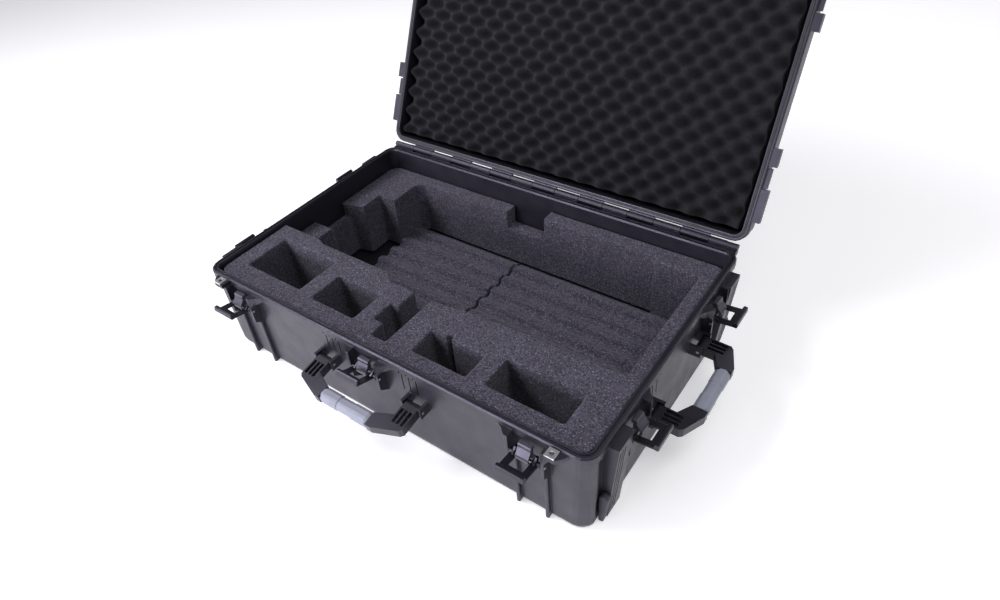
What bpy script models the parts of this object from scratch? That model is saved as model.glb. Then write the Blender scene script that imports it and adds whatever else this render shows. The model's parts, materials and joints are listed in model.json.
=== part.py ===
"""Hard carrying case: foam inserts, a hinged lid, seven draw latches, three fold-out handles. Metres, +Z up."""

import math

import bmesh
import bpy
from mathutils import Matrix, Vector

# Base shell, measured over the rim.
RIM_X = 0.950
RIM_Y = 0.606
BASE_Z = 0.208
RIM_RADIUS = 0.030
CORNER_STEPS = 5
HALF_X = RIM_X / 2
HALF_Y = RIM_Y / 2
WALL_INSET = 0.0045
WALL_INNER = 0.0145
FLOOR_TOP = 0.0075
FLANGE_LOW = 0.190
GAP = 0.0003

# Lid, drawn shut and then turned about the hinge pin.
LID_GAP = 0.0006
LID_DEPTH = 0.075
LID_Z = BASE_Z + LID_GAP
LID_OPEN_DEG = 115.0
HINGE_OUT = 0.0095
HINGE_UP = 0.0035
HINGE_AT = (0.0, HALF_Y + HINGE_OUT, BASE_Z + HINGE_UP)
KNUCKLES = 15
KNUCKLE_PITCH = 0.0620
KNUCKLE_GAP = 0.0010
KNUCKLE_RADIUS = 0.0065
HINGE_PIN_RADIUS = 0.0025
BORE_PLAY = 0.0003

# Gasket and the two grooves that it fits.
GROOVE_OUT = 0.0062
GROOVE_IN = 0.0102
GROOVE_DEPTH = 0.0034
GASKET_PLAY = 0.0003
GASKET_PROUD = 0.0008

# Latches: frame with X along the wall, -Y outwards and the lever's pin as origin.
FRONT_LATCH_X = 0.360
SIDE_LATCH_Y = 0.166
LATCH_OUT = 0.0125
LATCH_Z = 0.160
LATCH_PIN_RADIUS = 0.0024
LUG_INNER = 0.0315
LUG_OUTER = 0.0375
LUG_FRONT = 0.0160
LEVER_HALF = 0.0270
LEVER_LENGTH = 0.0480
LEVER_THICK = 0.0036
LEVER_BAR = 0.0085
LEVER_BAR_TOP = 0.0102
LEVER_BARREL = 0.0048
WINDOW_HALF = 0.0142
EAR_INNER = 0.0185
EAR_OUTER = 0.0225
CLAW_BACK = 0.0030
CLAW_UP = 0.0090
CLAW_HALF = 0.0125
CLAW_TALL = 0.0220
CLAW_BARREL = 0.0038
CLAW_SKIRT = 0.0128
TRUNNION_RADIUS = 0.0020
SHELF_TOP = 0.1965
SIDE_LEVER_DEG = 5.0
LEFT_LEVER_DEG = 12.0
MID_LEVER_DEG = 22.0
RIGHT_LEVER_DEG = 6.0

# Padlock hasps at the parting line, and the ribs that run down below the outer latches.
HASP_X = 0.411
HASP_OUT = 0.0115
HASP_HALF = 0.0092
HASP_THICK = 0.0028
HASP_LOW = BASE_Z - 0.0032
HASP_HOLE = 0.0046
RIB_X = 0.0305
RIB_HALF = 0.0036
RIB_OUT = 0.0032
RIB_TOP = 0.150

# Handles: frame as for the latches, with the handle's pins as origin.
HANDLE_OUT = 0.0130
HANDLE_Z = 0.128
FRONT_HANDLE_HALF = 0.131
SIDE_HANDLE_HALF = 0.116
HANDLE_ARM = 0.034
HANDLE_SHOULDER = 0.049
HANDLE_REACH = 0.0740
HANDLE_INNER = 0.0455
HANDLE_THICK = 0.0200
CHANNEL_PITCH = 0.0098
CHANNEL_HALF = 0.0034
CHANNEL_LOW = 0.0120
CHANNEL_HIGH = 0.0440
HANDLE_PIN_RADIUS = 0.0030
HANDLE_BARREL = 0.0095
GRIP_THICK = 0.0230
GRIP_GROOVE = 0.0170
GRIP_CREASE = 0.0030
SLOT_SHIFT = 0.0160
SLOT_PITCH = 0.0170
SLOT_HALF = 0.0012
FRONT_HANDLE_DEG = 10.0
RIGHT_HANDLE_DEG = 2.0
LEFT_HANDLE_DEG = 84.0

# Corner pilasters, drafted inwards to the floor, and the foot block that stands before each one.
PILASTER_LOW_Y = 0.2028
PILASTER_HIGH_Y = 0.2507
PILASTER_OUT = 0.4940
PILASTER_FOOT = 0.4768
PILASTER_TOP = 0.1970
FIN_PITCH = 0.0085
FIN_GAP = 0.0036
FIN_DEPTH = 0.0056
NOTCH_X = 0.4652
NOTCH_WIDE = 0.0215
FOOT_X = 0.4748
FOOT_HALF = 0.0086
FOOT_TOP = 0.073
FOOT_LEAN = 0.0080
FOOT_DEPTH = 0.0135
FOOT_SET = 0.0022

# Foam inserts.
FOAM_LOW = 0.0140
TRAY_TOP = 0.1980
TRAY_LEFT = -0.4585
TRAY_RIGHT = 0.4585
TRAY_FRONT = -0.2845
TRAY_BACK = -0.1060
TRAY_SPLITS = (-0.2285, -0.0080, 0.2130)
TRAY_LAYER = 0.0440
BODY_TOP = 0.1560
LEFT_STEP_TOP = 0.1200
RING_LEFT_X = -0.3460
NOTCH_LEFT = -0.0695
NOTCH_RIGHT = 0.0340
NOTCH_TOP = 0.1090
BODY_BACK = 0.2860
BODY_INNER_Y = 0.2520
RIGHT_BAND_TOP = 0.1720
FLOOR_FOAM_TOP = 0.0260
SLIT_X = -0.030


def clear_scene():
    for old in list(bpy.data.objects):
        bpy.data.objects.remove(old, do_unlink=True)


def material(name, colour, roughness, metallic=0.0):
    made = bpy.data.materials.new(name)
    made.use_nodes = True
    shader = made.node_tree.nodes["Principled BSDF"]
    shader.inputs["Base Color"].default_value = (*colour, 1.0)
    shader.inputs["Roughness"].default_value = roughness
    shader.inputs["Metallic"].default_value = metallic
    made.diffuse_color = (*colour, 1.0)
    return made


def make_materials():
    return {
        "shell": material("shell_plastic", (0.055, 0.055, 0.065), 0.62),
        "lever": material("lever_plastic", (0.035, 0.036, 0.042), 0.50),
        "claw": material("claw_plastic", (0.160, 0.162, 0.180), 0.45),
        "grip": material("grip_rubber", (0.340, 0.350, 0.420), 0.60),
        "steel": material("plated_steel", (0.720, 0.720, 0.740), 0.28, 1.0),
        "hasp": material("hasp_steel", (0.800, 0.800, 0.820), 0.35, 0.8),
        "gasket": material("gasket_rubber", (0.012, 0.012, 0.013), 0.80),
        "foam": material("insert_foam", (0.095, 0.090, 0.120), 0.95),
        "lid_foam": material("lid_foam", (0.028, 0.028, 0.036), 0.97),
        "foot": material("foot_plastic", (0.075, 0.075, 0.086), 0.70),
    }


def finish(bm, name, slot, location=(0.0, 0.0, 0.0), parent=None):
    """A named object from a bmesh that is drawn about the given location."""
    bmesh.ops.recalc_face_normals(bm, faces=bm.faces)
    mesh = bpy.data.meshes.new(name)
    bm.to_mesh(mesh)
    bm.free()
    obj = bpy.data.objects.new(name, mesh)
    bpy.context.scene.collection.objects.link(obj)
    obj.location = location
    obj.parent = parent
    if slot is None:
        obj.hide_render = True
        obj.display_type = "WIRE"
    else:
        mesh.materials.append(slot)
    return obj


def anchor(name, location, turn_z=0.0, turn_x=0.0, parent=None):
    made = bpy.data.objects.new(name, None)
    bpy.context.scene.collection.objects.link(made)
    made.location = location
    made.rotation_euler = (math.radians(turn_x), 0.0, math.radians(turn_z))
    made.parent = parent
    return made


def rounded_loop(half_x, half_y, radius, z, steps=CORNER_STEPS):
    """Points of a rounded rectangle, anticlockwise seen from above."""
    points = []
    for quarter, (sx, sy) in enumerate(((1, 1), (-1, 1), (-1, -1), (1, -1))):
        for step in range(steps + 1):
            angle = math.radians(90.0 * (quarter + step / steps))
            x = sx * (half_x - radius) + radius * math.cos(angle)
            y = sy * (half_y - radius) + radius * math.sin(angle)
            points.append((x, y, z))
    return points


def skin_loops(bm, loops, ring=False):
    """Joins loops of equal length side by side, capped unless they close into a ring."""
    rows = [[bm.verts.new(point) for point in loop] for loop in loops]
    count = len(rows[0])
    pairs = list(zip(rows, rows[1:]))
    if ring:
        pairs.append((rows[-1], rows[0]))
    for low, high in pairs:
        for i in range(count):
            j = (i + 1) % count
            bm.faces.new((low[i], low[j], high[j], high[i]))
    if not ring:
        bm.faces.new(rows[0][::-1])
        bm.faces.new(rows[-1])


def add_box(bm, low, high):
    size = [b - a for a, b in zip(low, high)]
    centre = [(a + b) / 2 for a, b in zip(low, high)]
    matrix = Matrix.Translation(centre) @ Matrix.Diagonal((*size, 1.0))
    bmesh.ops.create_cube(bm, size=1.0, matrix=matrix)


def add_rod(bm, centre, radius, half_length, axis="X", segments=16):
    """A capped cylinder along X, Y or Z."""
    turn = {"X": Matrix.Rotation(math.pi / 2, 4, "Y"), "Y": Matrix.Rotation(math.pi / 2, 4, "X")}
    matrix = Matrix.Translation(centre) @ turn.get(axis, Matrix.Identity(4))
    bmesh.ops.create_cone(
        bm,
        cap_ends=True,
        segments=segments,
        radius1=radius,
        radius2=radius,
        depth=2 * half_length,
        matrix=matrix,
    )


def add_prism(bm, outline, axis, low, high):
    """An outline in the plane across the axis, drawn out from low to high."""

    def at(point, level):
        if axis == "X":
            return (level, point[0], point[1])
        if axis == "Y":
            return (point[0], level, point[1])
        return (point[0], point[1], level)

    first = [bm.verts.new(at(point, low)) for point in outline]
    last = [bm.verts.new(at(point, high)) for point in outline]
    bm.faces.new(first[::-1])
    bm.faces.new(last)
    for i in range(len(outline)):
        j = (i + 1) % len(outline)
        bm.faces.new((first[i], first[j], last[j], last[i]))


def combine(target, tool, operation):
    modifier = target.modifiers.new(tool.name, "BOOLEAN")
    modifier.solver = "EXACT"
    modifier.operation = operation
    modifier.object = tool


def join_to(target, tool):
    combine(target, tool, "UNION")


def cut_from(target, tool):
    combine(target, tool, "DIFFERENCE")


def helper(name, draw, parent=None, location=(0.0, 0.0, 0.0)):
    """A hidden solid for a Boolean, drawn by a function of its bmesh."""
    bm = bmesh.new()
    draw(bm)
    return finish(bm, name, None, location, parent)


def soften(obj, width, segments=2):
    bevel = obj.modifiers.new("edges", "BEVEL")
    bevel.width = width
    bevel.segments = segments
    bevel.limit_method = "ANGLE"
    bevel.angle_limit = math.radians(40)


def smooth(obj, degrees=40.0):
    obj.data.polygons.foreach_set("use_smooth", [True] * len(obj.data.polygons))
    obj.data.set_sharp_from_angle(angle=math.radians(degrees))


def inset_loop(inset, z, radius=None):
    if radius is None:
        radius = max(RIM_RADIUS - inset, 0.010)
    return rounded_loop(HALF_X - inset, HALF_Y - inset, radius, z)


def lever_tilt(name):
    """How far a lever's tip stands above level at rest, in degrees."""
    front = {"front_left": LEFT_LEVER_DEG, "front_mid": MID_LEVER_DEG, "front_right": RIGHT_LEVER_DEG}
    return front.get(name, SIDE_LEVER_DEG)


def wall_places():
    """Each wall station of a latch: name, point on the rim and turn about Z."""
    return [
        ("front_left", (-FRONT_LATCH_X, -HALF_Y), 0.0),
        ("front_mid", (0.0, -HALF_Y), 0.0),
        ("front_right", (FRONT_LATCH_X, -HALF_Y), 0.0),
        ("right_front", (HALF_X, -SIDE_LATCH_Y), 90.0),
        ("right_rear", (HALF_X, SIDE_LATCH_Y), 90.0),
        ("left_front", (-HALF_X, -SIDE_LATCH_Y), -90.0),
        ("left_rear", (-HALF_X, SIDE_LATCH_Y), -90.0),
    ]


def handle_places():
    """Each handle: name, point on the rim, turn about Z, half width and rest turn."""
    return [
        ("front", (0.0, -HALF_Y), 0.0, FRONT_HANDLE_HALF, FRONT_HANDLE_DEG),
        ("right", (HALF_X, 0.0), 90.0, SIDE_HANDLE_HALF, RIGHT_HANDLE_DEG),
        ("left", (-HALF_X, 0.0), -90.0, SIDE_HANDLE_HALF, LEFT_HANDLE_DEG),
    ]


def turned(bm, origin, turn, draw, *shape):
    """Draws a shape in a wall frame, then places it by the frame's origin and turn about Z."""
    matrix = Matrix.Translation(origin) @ Matrix.Rotation(math.radians(turn), 4, "Z")
    before = set(bm.verts)
    draw(bm, *shape)
    fresh = [vert for vert in bm.verts if vert not in before]
    bmesh.ops.transform(bm, matrix=matrix, verts=fresh)


def turned_box(bm, low, high, origin, turn):
    turned(bm, origin, turn, add_box, low, high)


def turned_rod(bm, centre, radius, half_length, origin, turn):
    turned(bm, origin, turn, add_rod, centre, radius, half_length)


def base_body(mats):
    bm = bmesh.new()
    loops = [
        inset_loop(0.0125, 0.0, 0.032),
        inset_loop(0.0075, 0.0030, 0.034),
        inset_loop(0.0058, 0.0110, 0.034),
        inset_loop(WALL_INSET, FLANGE_LOW - 0.004),
        inset_loop(0.0, FLANGE_LOW),
        inset_loop(0.0, BASE_Z - 0.003),
        inset_loop(0.0025, BASE_Z),
        inset_loop(GROOVE_OUT, BASE_Z),
        inset_loop(GROOVE_OUT, BASE_Z - GROOVE_DEPTH),
        inset_loop(GROOVE_IN, BASE_Z - GROOVE_DEPTH),
        inset_loop(GROOVE_IN, BASE_Z),
        inset_loop(0.0130, BASE_Z),
        inset_loop(WALL_INNER, BASE_Z - 0.004),
        inset_loop(WALL_INNER + 0.0015, 0.0130),
        inset_loop(WALL_INNER + 0.0060, FLOOR_TOP),
    ]
    skin_loops(bm, loops)
    return finish(bm, "base_shell", mats["shell"])


def draw_ribs(bm):
    """Upright ribs under the outer front latches, with rounded feet."""
    low = -HALF_Y - RIB_OUT
    high = -HALF_Y + 0.012
    for centre in (-FRONT_LATCH_X, FRONT_LATCH_X):
        for side in (-1, 1):
            x = centre + side * RIB_X
            outline = [
                (x - RIB_HALF, high),
                (x - RIB_HALF, low + 0.0018),
                (x - RIB_HALF + 0.0016, low),
                (x + RIB_HALF - 0.0016, low),
                (x + RIB_HALF, low + 0.0018),
                (x + RIB_HALF, high),
            ]
            add_prism(bm, outline, "Z", 0.0, RIB_TOP)


def draw_lug(bm, side):
    """One lug of a latch: an upright plate with a gusset below."""
    outline = [
        (0.0100, 0.1120),
        (0.0045, 0.1165),
        (-LUG_FRONT, 0.1330),
        (-LUG_FRONT, SHELF_TOP - 0.0010),
        (0.0100, SHELF_TOP - 0.0010),
    ]
    low, high = sorted((side * LUG_INNER, side * LUG_OUTER))
    add_prism(bm, outline, "X", low, high)


def draw_lugs(bm):
    for _, (x, y), turn in wall_places():
        for side in (-1, 1):
            turned(bm, (x, y, 0.0), turn, draw_lug, side)


def draw_handle_lugs(bm):
    for _, (x, y), turn, half, _ in handle_places():
        for side in (-1, 1):
            inner = half - HANDLE_ARM
            for near, far in ((half + 0.0010, half + 0.0070), (inner - 0.0070, inner - 0.0010)):
                low, high = sorted((side * near, side * far))
                turned_box(
                    bm,
                    (low, -HANDLE_OUT - 0.0070, HANDLE_Z - 0.0110),
                    (high, 0.0100, HANDLE_Z + 0.0130),
                    (x, y, 0.0),
                    turn,
                )


def draw_shelf(bm, side):
    """The shelf on a lug: a slanted plan above that narrows into the lug's side below."""
    plans = (
        (0.1720, 0.0378, 0.0385, 0.0395),
        (0.1860, 0.0385, 0.0480, 0.0620),
        (SHELF_TOP, 0.0388, 0.0500, 0.0680),
    )
    loops = []
    for level, corner, middle, end in plans:
        plan = (
            (LUG_INNER, 0.0100),
            (LUG_INNER, -LUG_FRONT),
            (corner, -LUG_FRONT),
            (middle, -0.0060),
            (end, 0.0035),
            (end, 0.0100),
        )
        loops.append([(side * x, y, level) for x, y in plan])
    skin_loops(bm, loops)


def draw_shelves(bm):
    for _, (x, y), turn in wall_places():
        for side in (-1, 1):
            turned(bm, (x, y, 0.0), turn, draw_shelf, side)


def draw_hasp_ledges(bm):
    """The tongue beside each outer latch that carries a hasp plate."""
    front = -HALF_Y - HASP_OUT - HASP_HALF
    for side in (-1, 1):
        plan = [
            (HASP_X - HASP_HALF - 0.0042, -HALF_Y + 0.006),
            (HASP_X - HASP_HALF - 0.0042, front),
            (HASP_X + HASP_HALF + 0.0008, front),
            (HASP_X + HASP_HALF + 0.0115, front + 0.0110),
            (HASP_X + HASP_HALF + 0.0180, -HALF_Y + 0.006),
        ]
        add_prism(bm, [(side * x, y) for x, y in plan], "Z", HASP_LOW - 0.0090, HASP_LOW)


def draw_pilasters(bm):
    for sx in (-1, 1):
        outline = [
            (sx * (HALF_X - 0.0110), 0.0),
            (sx * PILASTER_FOOT, 0.0),
            (sx * PILASTER_OUT, PILASTER_TOP - 0.0060),
            (sx * PILASTER_OUT, PILASTER_TOP),
            (sx * (HALF_X - 0.0110), PILASTER_TOP),
        ]
        for sy in (-1, 1):
            low, high = sorted((sy * PILASTER_LOW_Y, sy * PILASTER_HIGH_Y))
            add_prism(bm, outline, "Y", low, high)


def knuckle_centres():
    first = -KNUCKLE_PITCH * (KNUCKLES - 1) / 2
    return [first + KNUCKLE_PITCH * i for i in range(KNUCKLES)]


def draw_base_knuckles(bm):
    half = (KNUCKLE_PITCH - KNUCKLE_GAP) / 2
    for x in knuckle_centres()[::2]:
        add_rod(bm, (x, HINGE_AT[1], HINGE_AT[2]), KNUCKLE_RADIUS, half)


def draw_base_webs(bm):
    half = (KNUCKLE_PITCH - KNUCKLE_GAP) / 2
    for x in knuckle_centres()[::2]:
        low = (x - half, HALF_Y - 0.004, BASE_Z - 0.0120)
        high = (x + half, HINGE_AT[1] + 0.0020, BASE_Z - 0.0008)
        add_box(bm, low, high)


def draw_base_bores(bm):
    for _, (x, y), turn in wall_places():
        centre = (0.0, -LATCH_OUT, LATCH_Z)
        turned_rod(bm, centre, LATCH_PIN_RADIUS + BORE_PLAY, LUG_OUTER + 0.0025, (x, y, 0.0), turn)
    for _, (x, y), turn, half, _ in handle_places():
        for side in (-1, 1):
            middle = side * (half - HANDLE_ARM / 2)
            turned_rod(
                bm,
                (middle, -HANDLE_OUT, HANDLE_Z),
                HANDLE_PIN_RADIUS + BORE_PLAY,
                HANDLE_ARM / 2 + 0.009,
                (x, y, 0.0),
                turn,
            )
    add_rod(bm, HINGE_AT, HINGE_PIN_RADIUS + BORE_PLAY, HALF_X)


def draw_wall_slots(bm):
    """The thin upright slots over each handle arm."""
    for _, (x, y), turn, half, _ in handle_places():
        for side in (-1, 1):
            middle = side * (half - HANDLE_ARM / 2 - SLOT_SHIFT)
            for step in (-1, 0, 1):
                at = middle + step * SLOT_PITCH
                turned_box(
                    bm,
                    (at - SLOT_HALF, -0.020, HANDLE_Z + 0.0150),
                    (at + SLOT_HALF, 0.0080, FLANGE_LOW + 0.0045),
                    (x, y, 0.0),
                    turn,
                )


def foot_outline(grow):
    """Front view of a foot block: a rounded top and a side that leans in to the floor."""
    half = FOOT_HALF + grow
    middle = FOOT_TOP - FOOT_HALF
    points = [(FOOT_X - half, 0.0), (FOOT_X + half - FOOT_LEAN, 0.0)]
    for step in range(9):
        angle = math.pi * step / 8
        points.append((FOOT_X + half * math.cos(angle), middle + half * math.sin(angle)))
    return points


def draw_foot_recess(bm):
    """The shallow arch behind each foot block."""
    for sx in (-1, 1):
        outline = [(sx * px, pz if pz else -0.002) for px, pz in foot_outline(0.0024)]
        for sy in (-1, 1):
            low, high = sorted((sy * (PILASTER_HIGH_Y - FOOT_SET - 0.0010), sy * (PILASTER_HIGH_Y + 0.0240)))
            add_prism(bm, outline, "Y", low, high)


def draw_notches(bm):
    """The upright notch between each corner and its pilaster."""
    for sx in (-1, 1):
        low_x, high_x = sorted((sx * NOTCH_X, sx * (HALF_X + 0.030)))
        for sy in (-1, 1):
            low_y, high_y = sorted((sy * PILASTER_HIGH_Y, sy * (PILASTER_HIGH_Y + NOTCH_WIDE)))
            add_box(bm, (low_x, low_y, 0.0080), (high_x, high_y, 0.1820))


def draw_fin_gaps(bm):
    """The grooves that leave thin upright fins at the corner end of each pilaster."""
    low = 0.0080
    high = PILASTER_TOP - 0.0110
    slope = (PILASTER_OUT - PILASTER_FOOT) / (PILASTER_TOP - 0.0060)
    deep = PILASTER_FOOT - FIN_DEPTH
    far = HALF_X + 0.040
    for sx in (-1, 1):
        outline = [
            (sx * (deep + slope * low), low),
            (sx * far, low),
            (sx * far, high),
            (sx * (deep + slope * high), high),
        ]
        for sy in (-1, 1):
            for step in range(3):
                middle = sy * (PILASTER_HIGH_Y - FIN_PITCH * (step + 0.85))
                add_prism(bm, outline, "Y", middle - FIN_GAP / 2, middle + FIN_GAP / 2)


def make_base(mats):
    base = base_body(mats)
    for name, draw in (
        ("ribs", draw_ribs),
        ("pilasters", draw_pilasters),
        ("lugs", draw_lugs),
        ("handle_lugs", draw_handle_lugs),
        ("shelves", draw_shelves),
        ("hasp_ledges", draw_hasp_ledges),
        ("base_webs", draw_base_webs),
        ("base_knuckles", draw_base_knuckles),
    ):
        join_to(base, helper("add_" + name, draw))
    for name, draw in (
        ("bores", draw_base_bores),
        ("wall_slots", draw_wall_slots),
        ("foot_recess", draw_foot_recess),
        ("notches", draw_notches),
        ("fin_gaps", draw_fin_gaps),
        ("hasp_holes", draw_hasp_holes),
    ):
        cut_from(base, helper("cut_" + name, draw))
    smooth(base)
    return base


def make_feet(mats):
    for side, sx in (("left", -1), ("right", 1)):
        for end, sy in (("front", -1), ("rear", 1)):
            bm = bmesh.new()
            outline = [(sx * px - sx * FOOT_X, pz) for px, pz in foot_outline(0.0)]
            add_prism(bm, outline, "Y", -FOOT_DEPTH / 2, FOOT_DEPTH / 2)
            at = (sx * FOOT_X, sy * (PILASTER_HIGH_Y - FOOT_SET + FOOT_DEPTH / 2), 0.0)
            foot = finish(bm, "foot_block_" + side + "_" + end, mats["foot"], at)
            soften(foot, 0.0015, 1)
            smooth(foot)


def lid_local(x, y, z):
    """A point of the shut lid, measured from the hinge pin."""
    return (x, y - HINGE_AT[1], z - HINGE_AT[2])


def lid_loop(inset, z):
    return [lid_local(*point) for point in inset_loop(inset, LID_Z + z)]


def lid_body(mats, hinge):
    bm = bmesh.new()
    loops = [
        lid_loop(WALL_INNER + 0.0060, LID_DEPTH - 0.0065),
        lid_loop(WALL_INNER + 0.0015, LID_DEPTH - 0.0120),
        lid_loop(WALL_INNER, 0.004),
        lid_loop(0.0130, 0.0),
        lid_loop(GROOVE_IN, 0.0),
        lid_loop(GROOVE_IN, GROOVE_DEPTH),
        lid_loop(GROOVE_OUT, GROOVE_DEPTH),
        lid_loop(GROOVE_OUT, 0.0),
        lid_loop(0.0025, 0.0),
        lid_loop(0.0, 0.003),
        lid_loop(0.0, 0.018),
        lid_loop(WALL_INSET, 0.022),
        lid_loop(0.0055, LID_DEPTH - 0.014),
        lid_loop(0.0090, LID_DEPTH - 0.004),
        lid_loop(0.0170, LID_DEPTH),
    ]
    skin_loops(bm, loops)
    return finish(bm, "lid_shell", mats["shell"], parent=hinge)


def draw_lid_knuckles(bm):
    half = (KNUCKLE_PITCH - KNUCKLE_GAP) / 2
    for x in knuckle_centres()[1::2]:
        add_rod(bm, (x, 0.0, 0.0), KNUCKLE_RADIUS, half)


def draw_lid_webs(bm):
    half = (KNUCKLE_PITCH - KNUCKLE_GAP) / 2
    for x in knuckle_centres()[1::2]:
        add_box(bm, (x - half, -HINGE_OUT - 0.004, 0.0004), (x + half, 0.0015, 0.0060))


def draw_lid_bore(bm):
    add_rod(bm, (0.0, 0.0, 0.0), HINGE_PIN_RADIUS + BORE_PLAY, HALF_X)


def lid_box(bm, low, high, place, turn):
    """A box in a wall frame of the shut lid, heights from the lid's rim."""
    origin = lid_local(place[0], place[1], LID_Z)
    turned_box(bm, low, high, origin, turn)


def draw_lid_catches(bm):
    for _, place, turn in wall_places():
        lid_box(bm, (-0.0200, -0.0085, 0.0050), (0.0200, 0.0040, 0.0130), place, turn)


def lid_cheek_spans(name):
    """Reach of the two blocks beside a catch, along the wall frame's X."""
    near_hinge = (0.0220, 0.0890)
    near_front = (0.0240, 0.0600)
    if name in ("right_rear",):
        return (-near_front[1], -near_front[0]), near_hinge
    if name in ("left_rear",):
        return (-near_hinge[1], -near_hinge[0]), near_front
    return (-0.0560, -0.0240), (0.0240, 0.0560)


def draw_lid_hasps(bm):
    """The lid's half of each padlock hasp."""
    for side in (-1, 1):
        low_x, high_x = sorted((side * (HASP_X - 0.0130), side * (HASP_X + 0.0130)))
        front = -HALF_Y - HASP_OUT - HASP_HALF
        low = lid_local(low_x, front, LID_Z + 0.0015)
        high = lid_local(high_x, -HALF_Y + 0.0040, LID_Z + 0.0100)
        add_box(bm, low, high)


def draw_lid_hasp_holes(bm):
    for side in (-1, 1):
        centre = lid_local(side * HASP_X, -HALF_Y - HASP_OUT, LID_Z + 0.0060)
        add_rod(bm, centre, HASP_HOLE, 0.0200, "Z")


def draw_lid_cheeks(bm):
    for name, place, turn in wall_places():
        for low, high in lid_cheek_spans(name):
            lid_box(bm, (low, -0.0140, 0.0015), (high, 0.0040, 0.0165), place, turn)


def draw_lid_ribs(bm):
    for x in (-0.300, -0.100, 0.100, 0.300):
        low = lid_local(x - 0.030, -HALF_Y + 0.060, LID_Z + LID_DEPTH - 0.0020)
        high = lid_local(x + 0.030, HALF_Y - 0.060, LID_Z + LID_DEPTH + 0.0030)
        add_box(bm, low, high)


def make_lid(mats, hinge):
    lid = lid_body(mats, hinge)
    for name, draw in (
        ("lid_cheeks", draw_lid_cheeks),
        ("lid_catches", draw_lid_catches),
        ("lid_hasps", draw_lid_hasps),
        ("lid_ribs", draw_lid_ribs),
        ("lid_webs", draw_lid_webs),
        ("lid_knuckles", draw_lid_knuckles),
    ):
        join_to(lid, helper("add_" + name, draw, hinge))
    cut_from(lid, helper("cut_lid_bore", draw_lid_bore, hinge))
    cut_from(lid, helper("cut_lid_hasp_holes", draw_lid_hasp_holes, hinge))
    smooth(lid)
    return lid


def make_gasket(mats, hinge):
    bm = bmesh.new()
    outer = GROOVE_OUT + GASKET_PLAY
    inner = GROOVE_IN - GASKET_PLAY
    top = GROOVE_DEPTH - GASKET_PLAY
    loops = [
        lid_loop(outer, -GASKET_PROUD),
        lid_loop(inner, -GASKET_PROUD),
        lid_loop(inner, top),
        lid_loop(outer, top),
    ]
    skin_loops(bm, loops, ring=True)
    smooth(finish(bm, "lid_gasket", mats["gasket"], parent=hinge))


def make_lid_foam(mats, hinge):
    bm = bmesh.new()
    inset = 0.0245
    loops = [
        [lid_local(*point) for point in rounded_loop(HALF_X - inset, HALF_Y - inset, 0.018, level)]
        for level in (LID_Z + 0.0030, LID_Z + LID_DEPTH - 0.0075)
    ]
    skin_loops(bm, loops)
    smooth(finish(bm, "lid_foam", mats["lid_foam"], parent=hinge))


def make_hinge_pin(mats):
    bm = bmesh.new()
    half = KNUCKLE_PITCH * KNUCKLES / 2 - 0.002
    add_rod(bm, (0.0, 0.0, 0.0), HINGE_PIN_RADIUS, half, segments=12)
    smooth(finish(bm, "hinge_pin", mats["steel"], HINGE_AT))


def draw_lever_window(bm):
    """The opening for the claw, which also parts the barrel in two."""
    add_box(bm, (-WINDOW_HALF, -0.0290, -0.010), (WINDOW_HALF, 0.0080, 0.010))


def draw_lever_bore(bm):
    add_rod(bm, (0.0, 0.0, 0.0), LATCH_PIN_RADIUS + BORE_PLAY, LUG_OUTER)
    add_rod(bm, (0.0, CLAW_BACK, CLAW_UP), TRUNNION_RADIUS + BORE_PLAY, LUG_OUTER)


def draw_lever_plate(bm):
    """Side profile of the lever: a plate that ends in a thick bar."""
    half = LEVER_THICK / 2
    tip = -LEVER_LENGTH
    root = tip + LEVER_BAR
    outline = [
        (-0.0020, -half),
        (root, -half),
        (tip + 0.0022, -half - 0.0008),
        (tip, 0.0006),
        (tip, LEVER_BAR_TOP - 0.0018),
        (tip + 0.0014, LEVER_BAR_TOP),
        (root - 0.0016, LEVER_BAR_TOP),
        (root, LEVER_BAR_TOP - 0.0018),
        (root + 0.0012, half + 0.0010),
        (root + 0.0030, half),
        (-0.0020, half),
    ]
    add_prism(bm, outline, "X", -LEVER_HALF, LEVER_HALF)


def draw_lever_ears(bm):
    """The two upright ears that hold the claw's trunnions."""
    outline = [
        (-0.0100, 0.0),
        (0.0038, 0.0),
        (0.0068, CLAW_UP),
        (0.0052, CLAW_UP + 0.0038),
        (0.0006, CLAW_UP + 0.0038),
        (-0.0030, CLAW_UP - 0.0020),
    ]
    for side in (-1, 1):
        low, high = sorted((side * EAR_INNER, side * EAR_OUTER))
        add_prism(bm, outline, "X", low, high)


def make_lever(name, mats, frame):
    bm = bmesh.new()
    add_rod(bm, (0.0, 0.0, 0.0), LEVER_BARREL, LUG_INNER - 0.0015)
    lever = finish(bm, "latch_lever_" + name, mats["lever"], parent=frame)
    for tag, draw in (("plate", draw_lever_plate), ("ears", draw_lever_ears)):
        join_to(lever, helper("add_" + tag + "_" + name, draw, frame))
    for tag, draw in (("window", draw_lever_window), ("bore", draw_lever_bore)):
        cut_from(lever, helper("cut_" + tag + "_" + name, draw, frame))
    smooth(lever)
    return lever


def draw_claw_trunnions(bm):
    add_rod(bm, (0.0, 0.0, 0.0), TRUNNION_RADIUS, EAR_OUTER - 0.0004, segments=12)


def draw_claw_plate(bm):
    """Side profile of the claw: an upright plate with an inward hook."""
    outline = [
        (-0.0022, 0.0),
        (0.0022, 0.0),
        (0.0022, CLAW_TALL - 0.0060),
        (0.0058, CLAW_TALL - 0.0060),
        (0.0058, CLAW_TALL - 0.0016),
        (0.0036, CLAW_TALL),
        (-0.0036, CLAW_TALL),
        (-0.0054, CLAW_TALL - 0.0030),
        (-0.0048, CLAW_TALL * 0.45),
    ]
    add_prism(bm, outline, "X", -CLAW_HALF, CLAW_HALF)


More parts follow.
